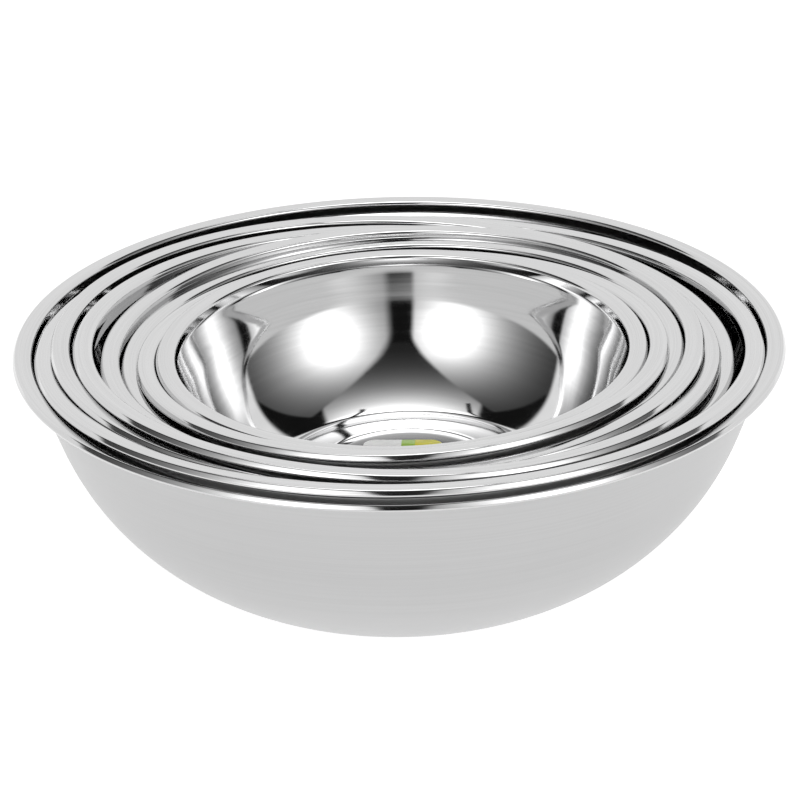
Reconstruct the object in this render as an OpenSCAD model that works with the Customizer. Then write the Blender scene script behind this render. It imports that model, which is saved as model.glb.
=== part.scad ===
// A nest of eight pressed stainless steel mixing bowls, from a 38 cm bowl at the outside
// to a 24 cm bowl at the inside, with a paper label on the floor of the smallest.
// Origin: centre of the largest bowl's base, on the surface that it stands on. +Z is up.
// Each bowl is one sheet of steel: a hemmed edge that slopes down from a nearly flat rim, an
// upright collar, a sloping wall that rounds into the base, and a base whose middle is
// pressed up a little.

/* [Sheet] */
// Thickness of the steel sheet
sheet_t = 0.8; // [0.5:0.1:0.9]
// Slope of the wall below the collar, in degrees from upright
wall_slope = 18.5; // [18:0.5:19]

/* [Rim] */
// Width of the rim, from the bowl's mouth to the outside of its edge
rim_w = 9.6; // [9.2:0.1:9.6]
// Height of the edge that slopes down from the rim
edge_h = 3.2; // [3:0.1:3.2]
// Radius of the bend between the rim and the collar
mouth_r = 1.6; // [1.6:0.1:2]
// Height of the upright collar below the rim
collar_h = 5; // [4:0.5:6]

/* [Base] */
// Height that the middle of the base is pressed up
base_raise = 1; // [0.5:0.1:1]

/* [Rim diameters] */
// Outside diameter of the 38 cm bowl
d_38 = 386.4; // [386.4:0.2:388]
// Outside diameter of the 36 cm bowl
d_36 = 362.4; // [361:0.2:362.4]
// Outside diameter of the 34 cm bowl
d_34 = 340.6; // [339:0.2:340.6]
// Outside diameter of the 32 cm bowl
d_32 = 320.6; // [319:0.2:320.6]
// Outside diameter of the 30 cm bowl
d_30 = 299.8; // [299:0.2:299.8]
// Outside diameter of the 28 cm bowl
d_28 = 279.6; // [278:0.2:279.6]
// Outside diameter of the 26 cm bowl
d_26 = 263.4; // [263:0.2:263.4]
// Outside diameter of the 24 cm bowl
d_24 = 243.4; // [242:0.2:243.4]

/* [Heights] */
// Height of the 38 cm bowl
h_38 = 114.8; // [114.8:0.2:116]
// Height of the 36 cm bowl
h_36 = 103.4; // [102:0.2:103.4]
// Height of the 34 cm bowl
h_34 = 97.2; // [96:0.2:97.2]
// Height of the 32 cm bowl
h_32 = 92.6; // [91:0.2:92.6]
// Height of the 30 cm bowl
h_30 = 85.8; // [85:0.2:85.8]
// Height of the 28 cm bowl
h_28 = 79.8; // [79:0.2:79.8]
// Height of the 26 cm bowl
h_26 = 76.6; // [75:0.2:76.6]
// Height of the 24 cm bowl
h_24 = 72.4; // [71:0.2:72.4]

/* [How the bowls sit in one another] */
// Middle of the 36 cm bowl's rim, from the middle of the 38 cm bowl's rim
at_36 = [0.2, -10.6, 1.6]; // [-12:0.1:3]
// Middle of the 34 cm bowl's rim, from the middle of the 38 cm bowl's rim
at_34 = [-2.8, -8.4, 0.8]; // [-12:0.1:3]
// Middle of the 32 cm bowl's rim, from the middle of the 38 cm bowl's rim
at_32 = [-0.7, -17.3, 4.3]; // [-20:0.1:6]
// Middle of the 30 cm bowl's rim, from the middle of the 38 cm bowl's rim
at_30 = [1.4, -16.2, 3.4]; // [-20:0.1:6]
// Middle of the 28 cm bowl's rim, from the middle of the 38 cm bowl's rim
at_28 = [1.5, -16.2, 0.1]; // [-20:0.1:6]
// Middle of the 26 cm bowl's rim, from the middle of the 38 cm bowl's rim
at_26 = [1.5, -23.6, 3.2]; // [-26:0.1:6]
// Middle of the 24 cm bowl's rim, from the middle of the 38 cm bowl's rim
at_24 = [1.4, -23.2, 3.5]; // [-26:0.1:6]
// Tilt of the 36 cm bowl about X and Y, in degrees
tilt_36 = [-1.55, 0.05]; // [-2:0.05:2]
// Tilt of the 34 cm bowl about X and Y, in degrees
tilt_34 = [-0.05, 2.1]; // [-2:0.05:3]
// Tilt of the 32 cm bowl about X and Y, in degrees
tilt_32 = [-0.8, 1.6]; // [-2:0.05:2]
// Tilt of the 30 cm bowl about X and Y, in degrees
tilt_30 = [0.7, -1.2]; // [-2:0.05:2]
// Tilt of the 28 cm bowl about X and Y, in degrees
tilt_28 = [0.45, -1.55]; // [-2:0.05:2]
// Tilt of the 26 cm bowl about X and Y, in degrees
tilt_26 = [-1.1, -1.55]; // [-2:0.05:2]
// Tilt of the 24 cm bowl about X and Y, in degrees
tilt_24 = [0.75, -0.8]; // [-2:0.05:2]

/* [Label] */
// Length of the paper label
label_l = 41; // [30:1:44]
// Width of the paper label
label_w = 28; // [20:1:32]
// Radius of the label's corners
label_r = 6; // [2:1:9]

/* [Hidden] */

rim_lean = 3;         // rise of the rim from the mouth to the edge, in degrees
edge_slope = 32;      // slope of the edge, in degrees from upright
edge_r = 1.1;         // outside radius of the bend between the rim and the edge
hem_r = 0.9;          // outside radius of the edge's folded lower end
hem_tail = 0.9;       // how far the fold runs back under the rim
edge_land = 1.2;      // how far the edge reaches past the outer end of the rim
bend_r = 8;           // outside radius of the bend between collar and wall
shoulder_a = 34.5;    // angle at which the wall meets the lower wall, from level
heel_a = 60;          // angle at which the lower wall meets the heel, from level
slope_depth = 0.198;  // depth of the straight slope's lower end, as a share of the rim's radius
base_share = 0.54;    // radius of the flat base, as a share of the rim's radius
heel_share = 0.10;    // radius of the heel, as a share of the rim's radius
disc_share = 0.38;    // radius of the raised disc, as a share of the rim's radius
arc_step = 4.5;       // largest angle between two points of an arc, in degrees
bend_step = 6.2;      // the same on the bend between collar and wall
heel_step = 6;        // the same on the heel
small_step = 15;      // the same on the outside of the rim's small bends
inner_step = 30;      // the same on the inside of the rim's small bends
label_t = 0.2;        // thickness of the paper
label_at = [-2, 19];  // middle of the label, from the middle of the bowl's floor
label_turn = -4;      // turn of the label on the floor, in degrees

// A direction in the section plane, turned down from level by the angle a
function down(a) = [cos(a), -sin(a)];

// Points along an arc about c, from angle a0 down to angle a1
function arc(c, r, a0, a1, step = arc_step) =
    let (n = ceil(abs(a1 - a0) / step))
    [for (i = [0 : n]) c + r * down(a0 + (a1 - a0) * i / n)];

// Radii of the wall's two arcs, so that they run smoothly from the end of the straight
// slope to the heel: the solution of two linear equations in the two radii
function wall_radii(run, drop, heel_r) =
    let (a = cos(shoulder_a) - cos(wall_slope), b = cos(heel_a) - cos(shoulder_a),
         c = sin(wall_slope) - sin(shoulder_a), d = sin(shoulder_a) - sin(heel_a),
         p = run + heel_r * cos(heel_a), q = heel_r - drop - heel_r * sin(heel_a),
         det = a * d - b * c)
    [(p * d - b * q) / det, (a * q - p * c) / det];

// One side of the sheet in section, from the collar down to the middle of the base. The
// inset is 0 on the outside and the sheet's thickness on the inside. The rim's top is z = 0.
function wall_side(d, h, inset) =
    let (rim = d / 2 - edge_land, collar = d / 2 - rim_w + sheet_t,
         bend_c = [collar - bend_r, -collar_h], bend_end = bend_c + bend_r * down(wall_slope),
         drop = slope_depth * rim, base_r = base_share * rim, heel_r = heel_share * rim,
         slope_end = [bend_end[0] - (drop + bend_end[1]) * tan(wall_slope), -drop],
         radii = wall_radii(base_r - slope_end[0], h - drop, heel_r),
         wall_c = slope_end - radii[0] * down(wall_slope),
         lower_c = wall_c + (radii[0] - radii[1]) * down(shoulder_a),
         heel_c = lower_c + (radii[1] - heel_r) * down(heel_a),
         floor_z = -h + inset, disc_r = disc_share * rim)
    concat(
        arc(bend_c, bend_r - inset, 0, wall_slope, bend_step),
        arc(wall_c, radii[0] - inset, wall_slope, shoulder_a),
        arc(lower_c, radii[1] - inset, shoulder_a, heel_a),
        arc(heel_c, heel_r - inset, heel_a, 90, heel_step),
        [[disc_r + base_raise, floor_z], [disc_r, floor_z + base_raise], [0, floor_z + base_raise]]);

// The rim's section: mouth bend, rim, sloping edge, folded hem, and back underneath to the
// collar. The rim and the edge are the straight lines between the three arcs.
function rim_line(d) =
    let (hem_c = [d / 2 - hem_r, hem_r - edge_h], edge_drop = edge_h - hem_r - edge_r,
         edge_run = (edge_r - hem_r + edge_drop * sin(edge_slope)) / cos(edge_slope),
         edge_c = [hem_c[0] - edge_run, -edge_r], mouth_x = d / 2 - rim_w + mouth_r,
         rim_rise = sin(rim_lean) * (edge_c[0] - mouth_x),
         mouth_c = [mouth_x, -edge_r - (mouth_r - edge_r + rim_rise) / cos(rim_lean)])
    concat(
        arc(mouth_c, mouth_r, 180, 270 - rim_lean, small_step),
        arc(edge_c, edge_r, -90 - rim_lean, -edge_slope, small_step),
        arc(hem_c, hem_r, -edge_slope, 90, small_step),
        [hem_c + [-hem_tail, -hem_r], hem_c + [-hem_tail, sheet_t - hem_r]],
        arc(hem_c, hem_r - sheet_t, 90, -edge_slope, inner_step),
        arc(edge_c, edge_r - sheet_t, -edge_slope, -90 - rim_lean, inner_step),
        arc(mouth_c, mouth_r - sheet_t, 270 - rim_lean, 180, inner_step));

function reversed(list) = [for (i = [len(list) - 1 : -1 : 0]) list[i]];

// One pressed bowl, with the middle of its rim's top at the origin
module bowl(d, h) {
    rotate_extrude($fn = 180)
        polygon(concat(reversed(wall_side(d, h, sheet_t)), rim_line(d), wall_side(d, h, 0)));
}

// Puts a bowl's rim where it sits in the nest
module seat(at, tilt) {
    translate([at[0], at[1], h_38 + at[2]]) rotate([tilt[0], tilt[1], 0]) children();
}

module bowl_38() { color("silver") seat([0, 0, 0], [0, 0]) bowl(d_38, h_38); }
module bowl_36() { color("silver") seat(at_36, tilt_36) bowl(d_36, h_36); }
module bowl_34() { color("silver") seat(at_34, tilt_34) bowl(d_34, h_34); }
module bowl_32() { color("silver") seat(at_32, tilt_32) bowl(d_32, h_32); }
module bowl_30() { color("silver") seat(at_30, tilt_30) bowl(d_30, h_30); }
module bowl_28() { color("silver") seat(at_28, tilt_28) bowl(d_28, h_28); }
module bowl_26() { color("silver") seat(at_26, tilt_26) bowl(d_26, h_26); }
module bowl_24() { color("silver") seat(at_24, tilt_24) bowl(d_24, h_24); }

// A rounded rectangle about the origin
module rounded_rectangle(l, w, r) {
    square([l - 2 * r, w], center = true);
    square([l, w - 2 * r], center = true);
    for (x = [-1, 1], y = [-1, 1])
        translate([x * (l / 2 - r), y * (w / 2 - r)]) circle(r, $fn = 48);
}

module label() {
    color("ivory") seat(at_24, tilt_24)
        translate([label_at[0], label_at[1], base_raise + sheet_t - h_24])
            rotate(label_turn)
                linear_extrude(label_t) rounded_rectangle(label_l, label_w, label_r);
}

bowl_38();
bowl_36();
bowl_34();
bowl_32();
bowl_30();
bowl_28();
bowl_26();
bowl_24();
label();
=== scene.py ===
"""A nest of eight pressed steel mixing bowls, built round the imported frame, in metres."""

import math

import bpy
import numpy as np
from mathutils import Matrix, Vector


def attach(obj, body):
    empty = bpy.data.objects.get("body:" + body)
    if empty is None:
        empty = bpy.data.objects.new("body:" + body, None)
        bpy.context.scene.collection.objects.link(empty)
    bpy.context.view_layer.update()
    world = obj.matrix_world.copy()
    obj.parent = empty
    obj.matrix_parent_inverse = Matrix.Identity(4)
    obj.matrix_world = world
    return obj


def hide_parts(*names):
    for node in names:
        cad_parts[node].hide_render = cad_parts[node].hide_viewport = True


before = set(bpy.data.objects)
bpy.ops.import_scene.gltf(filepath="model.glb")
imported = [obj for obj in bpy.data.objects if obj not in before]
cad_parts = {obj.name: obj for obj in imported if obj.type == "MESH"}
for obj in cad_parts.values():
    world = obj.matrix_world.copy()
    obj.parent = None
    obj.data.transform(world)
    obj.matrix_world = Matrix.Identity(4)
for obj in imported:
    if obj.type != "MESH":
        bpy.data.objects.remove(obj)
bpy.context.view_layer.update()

BOWLS = ["bowl_38", "bowl_36", "bowl_34", "bowl_32", "bowl_30", "bowl_28", "bowl_26", "bowl_24"]
MM = 0.001

# The bowls' section, with the design's own proportions
SHEET = 0.8 * MM
RIM_WIDTH = 9.6 * MM
RIM_LEAN = math.radians(3)
MOUTH_RADIUS = 1.6 * MM
EDGE_HEIGHT = 3.2 * MM
EDGE_SLOPE = math.radians(32)
EDGE_RADIUS = 1.1 * MM
HEM_RADIUS = 0.9 * MM
HEM_TAIL = 0.9 * MM
EDGE_LAND = 1.2 * MM
COLLAR_HEIGHT = 5 * MM
BEND_RADIUS = 8 * MM
WALL_SLOPE, SHOULDER_ANGLE, HEEL_ANGLE = (math.radians(a) for a in (18.5, 34.5, 60))
SLOPE_DEPTH, BASE_SHARE, HEEL_SHARE, DISC_SHARE = 0.198, 0.54, 0.10, 0.38
BASE_RAISE = 1 * MM
AROUND = 288

# The label, and where its colours start as shares of its length
LABEL_LENGTH, LABEL_WIDTH, LABEL_CORNER, LABEL_THICKNESS = 41 * MM, 28 * MM, 6 * MM, 0.2 * MM
LABEL_PLACE = Vector((-2 * MM, 19 * MM))
LABEL_TURN = math.radians(-4)
GREEN_FROM, YELLOW_FROM = 0.48, 0.65

INSIDE, RIM, OUTSIDE = range(3)


def down(angle):
    """A direction in the section plane, turned down from level."""
    return np.array([math.cos(angle), -math.sin(angle)])


def arc(centre, radius, start, end, steps):
    """Points of an arc in the section plane, both ends included."""
    return [centre + radius * down(start + (end - start) * i / steps) for i in range(steps + 1)]


def straight(a, b, steps):
    """Points between a and b, both left out."""
    return [a + (b - a) * i / steps for i in range(1, steps)]


def wall_side(outer, height, inset):
    """One side of the sheet, from the collar's foot down to the raised disc's middle."""
    rim = outer - EDGE_LAND
    bend_c = np.array([outer - RIM_WIDTH + SHEET - BEND_RADIUS, -COLLAR_HEIGHT])
    bend_end = bend_c + BEND_RADIUS * down(WALL_SLOPE)
    drop, base_r, heel_r = SLOPE_DEPTH * rim, BASE_SHARE * rim, HEEL_SHARE * rim
    slope_end = np.array([bend_end[0] - (drop + bend_end[1]) * math.tan(WALL_SLOPE), -drop])
    turns = np.column_stack([down(SHOULDER_ANGLE) - down(WALL_SLOPE),
                             down(HEEL_ANGLE) - down(SHOULDER_ANGLE)])
    ends = np.array([base_r, heel_r - height]) - slope_end + heel_r * down(HEEL_ANGLE)
    wall_r, lower_r = np.linalg.solve(turns, ends)
    wall_c = slope_end - wall_r * down(WALL_SLOPE)
    lower_c = wall_c + (wall_r - lower_r) * down(SHOULDER_ANGLE)
    heel_c = lower_c + (lower_r - heel_r) * down(HEEL_ANGLE)
    top = arc(bend_c, BEND_RADIUS - inset, 0, WALL_SLOPE, 5)
    wall = arc(wall_c, wall_r - inset, WALL_SLOPE, SHOULDER_ANGLE, 12)
    lower = arc(lower_c, lower_r - inset, SHOULDER_ANGLE, HEEL_ANGLE, 14)
    heel = arc(heel_c, heel_r - inset, HEEL_ANGLE, math.pi / 2, 10)
    floor_z, disc_r = inset - height, DISC_SHARE * rim
    step = [np.array([disc_r + BASE_RAISE * (1.5 - t), floor_z + BASE_RAISE * (t * t * (3 - 2 * t))])
            for t in np.linspace(0, 1, 7)]
    centre = np.array([0, floor_z + BASE_RAISE])
    flat = straight(heel[-1], step[0], 6)
    disc = straight(step[-1], centre, 8)
    slope = straight(top[-1], wall[0], 6)
    return top + slope + wall + lower[1:] + heel[1:] + flat + step + disc + [centre]


def section(outer, height):
    """The bowl's whole section as (points, the surface that each stretch belongs to)."""
    inner = wall_side(outer, height, SHEET)[::-1]
    back = wall_side(outer, height, 0)
    lean = 1.5 * math.pi - RIM_LEAN
    hem_c = np.array([outer - HEM_RADIUS, HEM_RADIUS - EDGE_HEIGHT])
    edge_drop = EDGE_HEIGHT - HEM_RADIUS - EDGE_RADIUS
    edge_run = (EDGE_RADIUS - HEM_RADIUS + edge_drop * math.sin(EDGE_SLOPE)) / math.cos(EDGE_SLOPE)
    edge_c = np.array([hem_c[0] - edge_run, -EDGE_RADIUS])
    mouth_x = outer - RIM_WIDTH + MOUTH_RADIUS
    rim_rise = math.sin(RIM_LEAN) * (edge_c[0] - mouth_x)
    mouth_drop = (MOUTH_RADIUS - EDGE_RADIUS + rim_rise) / math.cos(RIM_LEAN)
    mouth_c = np.array([mouth_x, edge_c[1] - mouth_drop])
    mouth = arc(mouth_c, MOUTH_RADIUS, math.pi, lean, 8)
    edge = arc(edge_c, EDGE_RADIUS, lean - 2 * math.pi, -EDGE_SLOPE, 10)
    hem = arc(hem_c, HEM_RADIUS, -EDGE_SLOPE, math.pi / 2, 10)
    top = mouth + straight(mouth[-1], edge[0], 4) + edge + straight(edge[-1], hem[0], 3) + hem
    tail = [hem_c + [-HEM_TAIL, -HEM_RADIUS], hem_c + [-HEM_TAIL, SHEET - HEM_RADIUS]]
    curl_in = arc(hem_c, HEM_RADIUS - SHEET, math.pi / 2, -EDGE_SLOPE, 6)
    curl_in += arc(edge_c, EDGE_RADIUS - SHEET, -EDGE_SLOPE, lean - 2 * math.pi, 6)
    mouth_in = arc(mouth_c, MOUTH_RADIUS - SHEET, lean, math.pi, 4)
    points = inner + top + tail + curl_in + mouth_in + back
    surfaces = [INSIDE] * (len(inner) + 2) + [RIM] * (len(top) + 2)
    surfaces += [OUTSIDE] * (len(points) - len(surfaces))
    return np.array(points), surfaces


def bowl_frame(node):
    """Where a CAD bowl stands: its matrix, with the middle of its rim's top as origin, and its
    outside radius and height."""
    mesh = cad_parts[node].data
    mesh.calc_loop_triangles()
    co = np.array([v.co for v in mesh.vertices])
    tri = np.array([t.vertices for t in mesh.loop_triangles])
    area = np.array([t.area for t in mesh.loop_triangles])
    centre = (co[tri].mean(1) * area[:, None]).sum(0) / area.sum()
    spread = co[tri].mean(1) - centre
    axis = np.linalg.eigh((spread * area[:, None]).T @ spread)[1][:, 0]
    axis = Vector(axis if axis[2] > 0 else -axis)
    along = (co - centre) @ np.array(axis)
    radius = float(np.linalg.norm(co - centre - along[:, None] * np.array(axis), axis=1).max())
    top, height = float(along.max()), float(along.max() - along.min())
    side = Vector((1, 0, 0))
    side = (side - side.dot(axis) * axis).normalized()
    origin = Vector(centre) + axis * top
    turn = Matrix((side, axis.cross(side), axis)).transposed().to_4x4()
    return Matrix.Translation(origin) @ turn, radius, height


def revolve(name, points, surfaces, materials):
    """A closed mesh of revolution about Z. The section's first and last points are on the axis."""
    angles = np.linspace(0, 2 * math.pi, AROUND, endpoint=False)
    rings = points[1:-1]
    co = np.empty((len(rings), AROUND, 3))
    co[:, :, 0] = rings[:, :1] * np.cos(angles)
    co[:, :, 1] = rings[:, :1] * np.sin(angles)
    co[:, :, 2] = rings[:, 1:]
    verts = [tuple(v) for v in co.reshape(-1, 3)] + [(0, 0, points[0][1]), (0, 0, points[-1][1])]
    first, last = len(verts) - 2, len(verts) - 1
    faces, index = [], []
    for j in range(AROUND):
        k = (j + 1) % AROUND
        faces.append((first, j, k))
        index.append(surfaces[0])
    for i in range(len(rings) - 1):
        for j in range(AROUND):
            k = (j + 1) % AROUND
            faces.append((i * AROUND + j, (i + 1) * AROUND + j, (i + 1) * AROUND + k, i * AROUND + k))
            index.append(surfaces[i + 1])
    end = (len(rings) - 1) * AROUND
    for j in range(AROUND):
        faces.append((last, end + (j + 1) % AROUND, end + j))
        index.append(surfaces[-1])
    mesh = bpy.data.meshes.new(name)
    mesh.from_pydata(verts, [], faces)
    mesh.polygons.foreach_set("material_index", index)
    mesh.polygons.foreach_set("use_smooth", [True] * len(faces))
    for material in materials:
        mesh.materials.append(material)
    mesh.validate()
    mesh.update()
    piece = bpy.data.objects.new(name, mesh)
    bpy.context.scene.collection.objects.link(piece)
    return piece


# ---------------------------------------------------------------- materials

def new_material(name):
    material = bpy.data.materials.new(name)
    material.use_nodes = True
    nodes = material.node_tree.nodes
    return material, nodes, material.node_tree.links, nodes["Principled BSDF"]


def ring_coordinates(nodes, links, across, along):
    """A texture coordinate that runs fast across the rings of a bowl and slowly round them."""
    place = nodes.new("ShaderNodeTexCoord")
    split = nodes.new("ShaderNodeSeparateXYZ")
    links.new(place.outputs["Object"], split.inputs[0])
    flat = nodes.new("ShaderNodeCombineXYZ")
    links.new(split.outputs["X"], flat.inputs["X"])
    links.new(split.outputs["Y"], flat.inputs["Y"])
    length = nodes.new("ShaderNodeVectorMath")
    length.operation = "LENGTH"
    links.new(flat.outputs[0], length.inputs[0])
    unit = nodes.new("ShaderNodeVectorMath")
    unit.operation = "NORMALIZE"
    links.new(flat.outputs[0], unit.inputs[0])
    around = nodes.new("ShaderNodeVectorMath")
    around.operation = "SCALE"
    around.inputs["Scale"].default_value = along
    links.new(unit.outputs[0], around.inputs[0])
    drop = nodes.new("ShaderNodeMath")
    drop.operation = "SUBTRACT"
    links.new(length.outputs["Value"], drop.inputs[0])
    links.new(split.outputs["Z"], drop.inputs[1])
    rise = nodes.new("ShaderNodeMath")
    rise.operation = "MULTIPLY"
    rise.inputs[1].default_value = across
    links.new(drop.outputs[0], rise.inputs[0])
    lift = nodes.new("ShaderNodeCombineXYZ")
    links.new(rise.outputs[0], lift.inputs["Z"])
    total = nodes.new("ShaderNodeVectorMath")
    total.operation = "ADD"
    links.new(around.outputs[0], total.inputs[0])
    links.new(lift.outputs[0], total.inputs[1])
    return total.outputs[0]


def noise(nodes, links, coordinates, scale, detail):
    texture = nodes.new("ShaderNodeTexNoise")
    texture.inputs["Scale"].default_value = scale
    texture.inputs["Detail"].default_value = detail
    if coordinates is not None:
        links.new(coordinates, texture.inputs["Vector"])
    return texture.outputs["Fac"]


def spread(nodes, links, value, low, high):
    """Maps noise, which stays near one half, to the range low to high."""
    remap = nodes.new("ShaderNodeMapRange")
    remap.inputs["From Min"].default_value = 0.3
    remap.inputs["From Max"].default_value = 0.7
    remap.inputs["To Min"].default_value = low
    remap.inputs["To Max"].default_value = high
    links.new(value, remap.inputs["Value"])
    return remap.outputs["Result"]


def steel(name, shade, roughness, lines, bump, aniso):
    """Steel with fine lines round the bowl, soft smudges and a little variation in its tone. The
    roughness is its lowest and highest on the lines, and what the smudges add."""
    material, nodes, links, shader = new_material(name)
    shader.inputs["Metallic"].default_value = 1.0
    shader.inputs["Anisotropic"].default_value = aniso
    tangent = nodes.new("ShaderNodeTangent")
    tangent.direction_type = "RADIAL"
    tangent.axis = "Z"
    links.new(tangent.outputs[0], shader.inputs["Tangent"])
    fine = noise(nodes, links, ring_coordinates(nodes, links, lines, 1.5), 1.0, 6)
    place = nodes.new("ShaderNodeTexCoord")
    smudge = noise(nodes, links, place.outputs["Object"], 14.0, 4)
    rough = nodes.new("ShaderNodeMath")
    rough.operation = "ADD"
    links.new(spread(nodes, links, fine, roughness[0], roughness[1]), rough.inputs[0])
    links.new(spread(nodes, links, smudge, 0, roughness[2]), rough.inputs[1])
    links.new(rough.outputs[0], shader.inputs["Roughness"])
    ramp = nodes.new("ShaderNodeValToRGB")
    ramp.color_ramp.elements[0].position = 0.3
    ramp.color_ramp.elements[1].position = 0.7
    for element, value in zip(ramp.color_ramp.elements, shade):
        element.color = (value, value, value * 1.003, 1)
    links.new(fine, ramp.inputs["Fac"])
    links.new(ramp.outputs["Color"], shader.inputs["Base Color"])
    relief = nodes.new("ShaderNodeBump")
    relief.inputs["Strength"].default_value = bump
    relief.inputs["Distance"].default_value = 0.00005
    links.new(fine, relief.inputs["Height"])
    links.new(relief.outputs["Normal"], shader.inputs["Normal"])
    return material


mirror_steel = steel("mirror_steel", shade=(0.64, 0.70), roughness=(0.03, 0.06, 0.02),
                     lines=900, bump=0.02, aniso=0.2)
satin_rim = steel("satin_rim", shade=(0.60, 0.68), roughness=(0.05, 0.10, 0.02),
                  lines=2200, bump=0.04, aniso=0.2)
satin_outside = steel("satin_outside", shade=(0.51, 0.55), roughness=(0.34, 0.42, 0.05),
                      lines=1600, bump=0.08, aniso=0.4)


def label_paper():
    """White label stock with a green and a yellow field at one end."""
    material, nodes, links, shader = new_material("label_paper")
    place = nodes.new("ShaderNodeTexCoord")
    split = nodes.new("ShaderNodeSeparateXYZ")
    links.new(place.outputs["Object"], split.inputs[0])
    ramp = nodes.new("ShaderNodeValToRGB")
    ramp.color_ramp.interpolation = "CONSTANT"
    ramp.color_ramp.elements[0].color = (0.95, 0.95, 0.94, 1)
    ramp.color_ramp.elements[1].position = GREEN_FROM
    ramp.color_ramp.elements[1].color = (0.34, 0.56, 0.05, 1)
    yellow = ramp.color_ramp.elements.new(YELLOW_FROM)
    yellow.color = (0.72, 0.66, 0.02, 1)
    across = nodes.new("ShaderNodeMapRange")
    across.inputs["From Min"].default_value = -LABEL_LENGTH / 2
    across.inputs["From Max"].default_value = LABEL_LENGTH / 2
    links.new(split.outputs["X"], across.inputs["Value"])
    links.new(across.outputs["Result"], ramp.inputs["Fac"])
    fibre = noise(nodes, links, place.outputs["Object"], 900, 4)
    mix = nodes.new("ShaderNodeMix")
    mix.data_type = "RGBA"
    mix.blend_type = "MULTIPLY"
    mix.inputs["Factor"].default_value = 0.05
    links.new(ramp.outputs["Color"], mix.inputs["A"])
    links.new(fibre, mix.inputs["B"])
    links.new(mix.outputs["Result"], shader.inputs["Base Color"])
    links.new(spread(nodes, links, fibre, 0.35, 0.5), shader.inputs["Roughness"])
    return material


# ---------------------------------------------------------------- the pieces

def build_bowl(node):
    place, outer, height = bowl_frame(node)
    piece = revolve(node + "_steel", *section(outer, height), [mirror_steel, satin_rim, satin_outside])
    piece.matrix_world = place
    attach(piece, node)
    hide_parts(node)
    return place, height


def build_label(bowl_place, bowl_height):
    """A thin rounded rectangle on the smallest bowl's floor, its edges slightly rounded over."""
    outline = []
    for quarter, (sx, sy) in enumerate(((1, 1), (-1, 1), (-1, -1), (1, -1))):
        for i in range(9):
            a = math.pi / 2 * (quarter + i / 8)
            outline.append((sx * (LABEL_LENGTH / 2 - LABEL_CORNER) + LABEL_CORNER * math.cos(a),
                            sy * (LABEL_WIDTH / 2 - LABEL_CORNER) + LABEL_CORNER * math.sin(a)))
    n = len(outline)
    levels = [(1.0, 0), (1.0, 0.7), (0.996, 1.0), (0.6, 1.0), (0.25, 1.0)]
    verts = [(x * s, y * s, z * LABEL_THICKNESS) for s, z in levels for x, y in outline]
    verts += [(0, 0, LABEL_THICKNESS), (0, 0, 0)]
    faces = [(i * n + j, i * n + (j + 1) % n, (i + 1) * n + (j + 1) % n, (i + 1) * n + j)
             for i in range(len(levels) - 1) for j in range(n)]
    faces += [((len(levels) - 1) * n + j, (len(levels) - 1) * n + (j + 1) % n, len(verts) - 2)
              for j in range(n)]
    faces += [((j + 1) % n, j, len(verts) - 1) for j in range(n)]
    mesh = bpy.data.meshes.new("label_sticker")
    mesh.from_pydata(verts, [], faces)
    mesh.polygons.foreach_set("use_smooth", [True] * len(faces))
    mesh.materials.append(label_paper())
    mesh.update()
    piece = bpy.data.objects.new("label_sticker", mesh)
    bpy.context.scene.collection.objects.link(piece)
    floor = SHEET + BASE_RAISE - bowl_height
    piece.matrix_world = (bowl_place @ Matrix.Translation((*LABEL_PLACE, floor))
                          @ Matrix.Rotation(LABEL_TURN, 4, "Z"))
    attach(piece, "bowl_24")
    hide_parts("label")


for name in BOWLS:
    smallest = build_bowl(name)
build_label(*smallest)

# ---------------------------------------------------------------- floor, light and camera

# The light falls from a backdrop, a table that reaches up to a height of TABLE_TOP on a sphere round
# the nest, two big soft boxes beside the camera and two panels overhead with dark bars across them.
# A panel's corners are azimuths and elevations in degrees. A bar runs from one (x, y) to another
# at a height of 1.
BACKDROP_WAY = (0, 1, -0.78)
TABLE_TOP, TABLE_LIGHT, FAR_TABLE_LOSS = 0.22, 0.95, 0.2
BOX_CORNERS = [(7, 4), (7, 35), (40, 59.5), (116, 56), (108, 4)]
TOP_CORNERS = [(-90, 58), (-35, 56), (35, 56), (90, 58), (150, 58), (-150, 58)]
WEDGE_CORNERS = [(-40, 64), (-26, 50), (-5, 37), (5, 37), (26, 50), (40, 64)]
CEILING_BARS = [((-0.445, 0.07), (-0.35, 0.46)), ((0.157, 0.63), (0.235, 0.085)),
                ((0.585, 0.08), (0.585, 0.36))]
BAR_WIDTH = 0.035
FILL_LIGHT = 0.008

CAMERA_DISTANCE, CAMERA_ELEVATION, CAMERA_ROLL = 1.3, math.radians(23.416), math.radians(-1.135)
LENS, SENSOR = 116.1, 36
AIM_BELOW_RIM = 38.8 * MM


def build_floor():
    bpy.ops.mesh.primitive_plane_add(size=12, location=(0, 0, 0))
    floor = bpy.context.object
    floor.name = "floor"
    material, nodes, links, shader = new_material("floor_white")
    shader.inputs["Base Color"].default_value = (0.35, 0.35, 0.35, 1)
    shader.inputs["Roughness"].default_value = 0.8
    shader.inputs["Specular IOR Level"].default_value = 0
    shader.inputs["Emission Color"].default_value = (1, 1, 1, 1)
    shader.inputs["Emission Strength"].default_value = 0.85
    floor.data.materials.append(material)


def direction(azimuth, elevation):
    """The way to a point of the studio. Azimuth 0 is the camera's side, and 90 is to its right."""
    a, e = math.radians(azimuth), math.radians(elevation)
    return Vector((math.sin(a) * math.cos(e), -math.cos(a) * math.cos(e), math.sin(e)))


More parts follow.
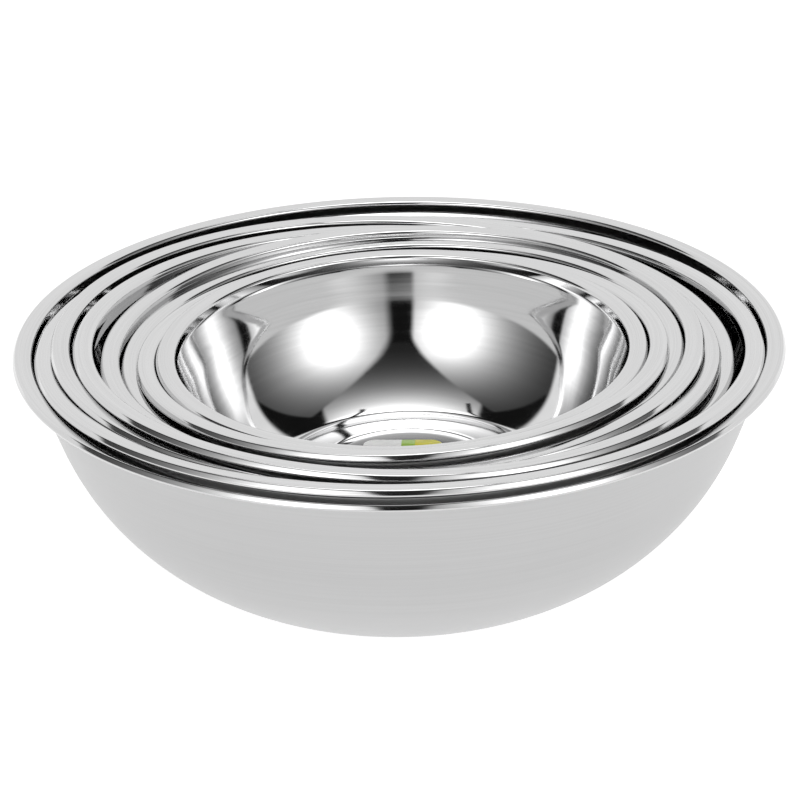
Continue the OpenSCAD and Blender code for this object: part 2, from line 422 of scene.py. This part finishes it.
class Studio:
    """The light round the bowls, as soft-edged panels seen from the nest's middle."""

    def __init__(self, world):
        self.nodes, self.links = world.node_tree.nodes, world.node_tree.links
        place = self.nodes.new("ShaderNodeTexCoord")
        self.way = place.outputs["Generated"]
        self.total = None

    def math(self, operation, *values):
        node = self.nodes.new("ShaderNodeMath")
        node.operation = operation
        for socket, value in zip(node.inputs, values):
            if isinstance(value, bpy.types.NodeSocket):
                self.links.new(value, socket)
            else:
                socket.default_value = value
        return node.outputs[0]

    def along(self, vector):
        """How far the way looked at runs along a vector."""
        dot = self.nodes.new("ShaderNodeVectorMath")
        dot.operation = "DOT_PRODUCT"
        self.links.new(self.way, dot.inputs[0])
        dot.inputs[1].default_value = vector
        return dot.outputs["Value"]

    def step(self, value, soft):
        """0 below zero and 1 above it, over a soft edge."""
        ramp = self.nodes.new("ShaderNodeMapRange")
        ramp.interpolation_type = "SMOOTHSTEP"
        ramp.inputs["From Min"].default_value = -soft
        ramp.inputs["From Max"].default_value = soft
        self.links.new(value, ramp.inputs["Value"])
        return ramp.outputs["Result"]

    def panel(self, ways, soft=0.02, first_soft=None):
        """1 inside the panel with corners in these directions and 0 outside it. The first two
        sides can have an edge of their own softness."""
        middle = sum(ways, Vector((0, 0, 0)))
        mask = None
        for i, (first, second) in enumerate(zip(ways, ways[1:] + ways[:1])):
            normal = first.cross(second).normalized()
            if normal.dot(middle) < 0:
                normal.negate()
            inside = self.step(self.along(normal), first_soft if first_soft and i < 2 else soft)
            mask = inside if mask is None else self.math("MULTIPLY", mask, inside)
        return mask

    def gap_between(self, start, end, width):
        """0 on a thin bar from one direction to another and 1 beside it."""
        aside = start.cross(end).normalized() * width / 2
        bar = self.panel([start + aside, end + aside, end - aside, start - aside], width / 4)
        return self.math("SUBTRACT", 1.0, bar)

    def hot_spot(self, azimuth, elevation, peak, fade):
        """Light that is brightest in one direction and falls by the share `fade` over each radian."""
        angle = self.math("ARCCOSINE", self.along(direction(azimuth, elevation)))
        return self.math("MULTIPLY", self.math("EXPONENT", self.math("MULTIPLY", angle, -fade)), peak)

    def add(self, *factors):
        value = factors[0]
        for factor in factors[1:]:
            value = self.math("MULTIPLY", value, factor)
        self.total = value if self.total is None else self.math("ADD", self.total, value)


def directions(corners, side=1):
    """The ways to a panel's corners, or to its mirror image's when the side is -1."""
    return [direction(side * azimuth, elevation) for azimuth, elevation in corners]


def build_studio():
    world = bpy.data.worlds.new("studio")
    bpy.context.scene.world = world
    world.use_nodes = True
    studio = Studio(world)
    backdrop = studio.step(studio.along(BACKDROP_WAY), 0.04)
    table = studio.step(studio.math("SUBTRACT", TABLE_TOP, studio.along((0, 0, 1))), 0.015)
    horizon = studio.step(studio.along((0, 0, 1)), 0.05)
    table_tone = studio.math("SUBTRACT", TABLE_LIGHT, studio.math("MULTIPLY", FAR_TABLE_LOSS, horizon))
    table_light = studio.math("MULTIPLY", table, table_tone)
    studio.add(studio.math("MAXIMUM", table_light, backdrop))
    above_table = studio.math("SUBTRACT", 1.0, table)
    beside_boxes = []
    for side, middle, inner_soft in ((-1, 31, 0.03), (1, 44, 0.05)):
        box = studio.panel(directions(BOX_CORNERS, side), 0.02, inner_soft)
        studio.add(box, studio.hot_spot(side * middle, 28, 4.5, 3.9), above_table)
        beside_boxes.append(studio.math("SUBTRACT", 1.0, box))
    ceiling = studio.math("MAXIMUM", *(studio.panel(directions(c)) for c in (TOP_CORNERS, WEDGE_CORNERS)))
    bars = [studio.gap_between(Vector((*start, 1)), Vector((*end, 1)), BAR_WIDTH)
            for start, end in CEILING_BARS]
    studio.add(ceiling, studio.hot_spot(180, 72, 7.0, 5.2), *bars, *beside_boxes)
    studio.add(FILL_LIGHT)
    studio.links.new(studio.total, studio.nodes["Background"].inputs["Color"])


def build_camera():
    rim = Vector((0, 0, bowl_frame("bowl_38")[0].translation.z))
    away = Vector((0, -math.cos(CAMERA_ELEVATION), math.sin(CAMERA_ELEVATION)))
    place = rim + away * CAMERA_DISTANCE
    aim = rim - Vector((0, 0, AIM_BELOW_RIM)) - place
    camera = bpy.data.objects.new("camera", bpy.data.cameras.new("camera"))
    camera.data.lens, camera.data.sensor_width = LENS, SENSOR
    bpy.context.scene.collection.objects.link(camera)
    turn = aim.to_track_quat("-Z", "Y").to_matrix().to_4x4()
    camera.matrix_world = Matrix.Translation(place) @ turn @ Matrix.Rotation(CAMERA_ROLL, 4, "Z")
    bpy.context.scene.camera = camera


build_floor()
build_studio()
bpy.context.scene.view_settings.view_transform = "Standard"
build_camera()
